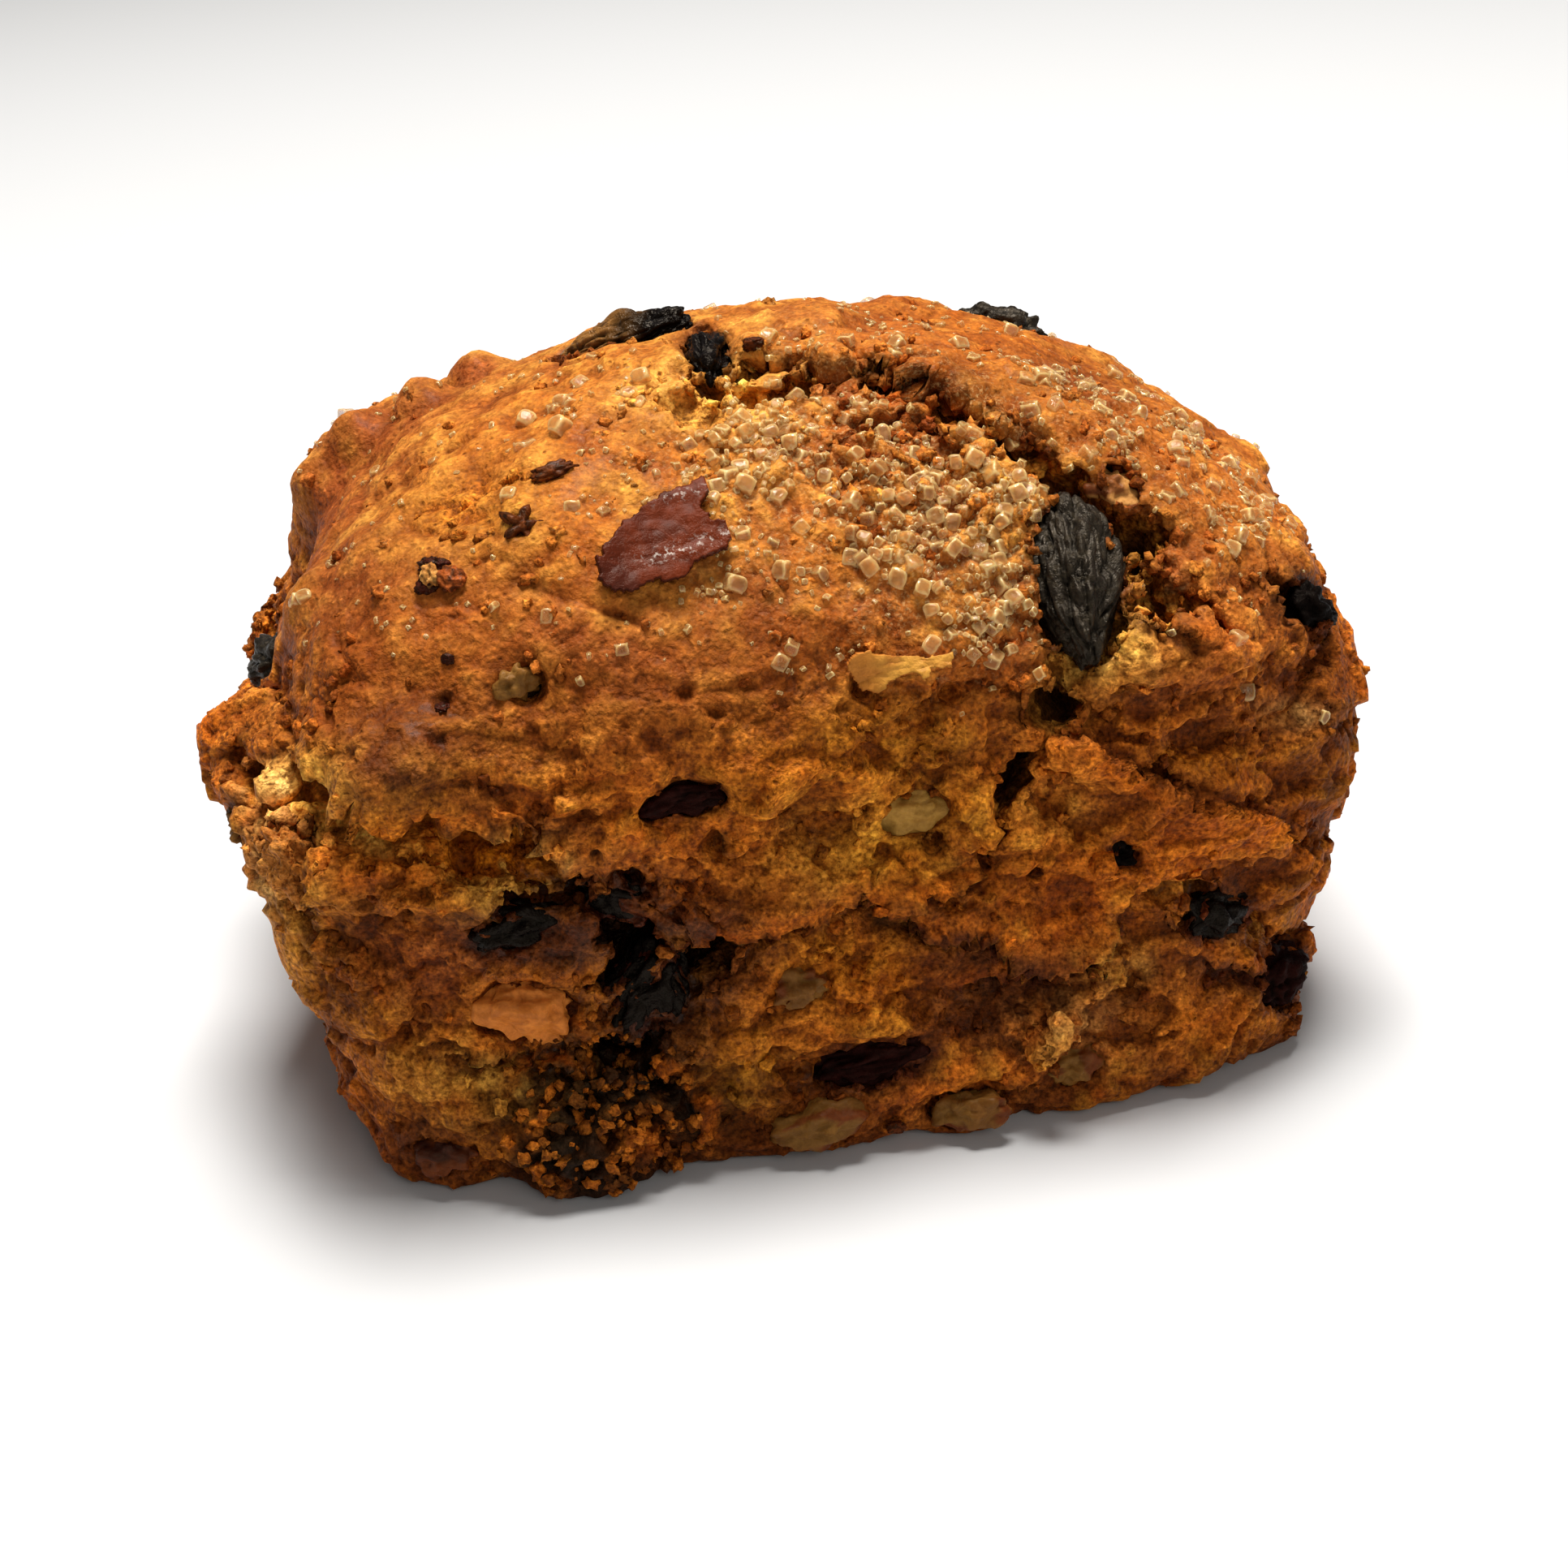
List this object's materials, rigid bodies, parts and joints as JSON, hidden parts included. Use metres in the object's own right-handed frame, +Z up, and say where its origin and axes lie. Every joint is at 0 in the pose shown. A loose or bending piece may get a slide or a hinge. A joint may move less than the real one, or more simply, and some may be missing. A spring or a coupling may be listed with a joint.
{
  "type": "fruit scone",
  "caption": "Rounded rectangular fruit scone with a cracked golden crust, raisins, walnut bits, a glossy crust flake and coarse sugar on top.",
  "frame": {"origin": "middle of the bounding box, on the flat underside", "axes": "+X along the length, +Y from the long front to the back, +Z up"},
  "size_m": [0.0944, 0.0678, 0.0587],
  "materials": {
    "baked_crust": "dry baked crust",
    "raisin_skin": "wrinkled, half gloss",
    "walnut": "matt",
    "glazed_flake": "glazed, half gloss"
  },
  "bodies": {
    "root": {"crust_flake": "glazed_flake", "nut_back": "walnut", "nut_back_high": "walnut", "nut_back_top": "walnut", "nut_base": "walnut", "nut_crack": "walnut", "nut_flake": "walnut", "nut_flank": "walnut", "nut_foot": "walnut", "nut_left": "walnut", "nut_low": "walnut", "nut_low_right": "walnut", "nut_middle": "walnut", "nut_shoulder": "walnut", "nut_side": "walnut", "nut_under": "walnut", "nut_window": "walnut", "raisin_back": "raisin_skin", "raisin_back_crack": "raisin_skin", "raisin_back_low": "raisin_skin", "raisin_back_top": "raisin_skin", "raisin_corner": "raisin_skin", "raisin_crack": "raisin_skin", "raisin_crater": "raisin_skin", "raisin_crater_left": "raisin_skin", "raisin_crater_top": "raisin_skin", "raisin_front": "raisin_skin", "raisin_ledge": "raisin_skin", "raisin_left": "raisin_skin", "raisin_pit": "raisin_skin", "raisin_right": "raisin_skin", "raisin_seam": "raisin_skin", "raisin_shoulder": "raisin_skin", "raisin_side": "raisin_skin", "raisin_top": "raisin_skin", "raisin_top_split": "raisin_skin", "raisin_under": "raisin_skin", "scone_body": "baked_crust"}
  },
  "joints": []
}
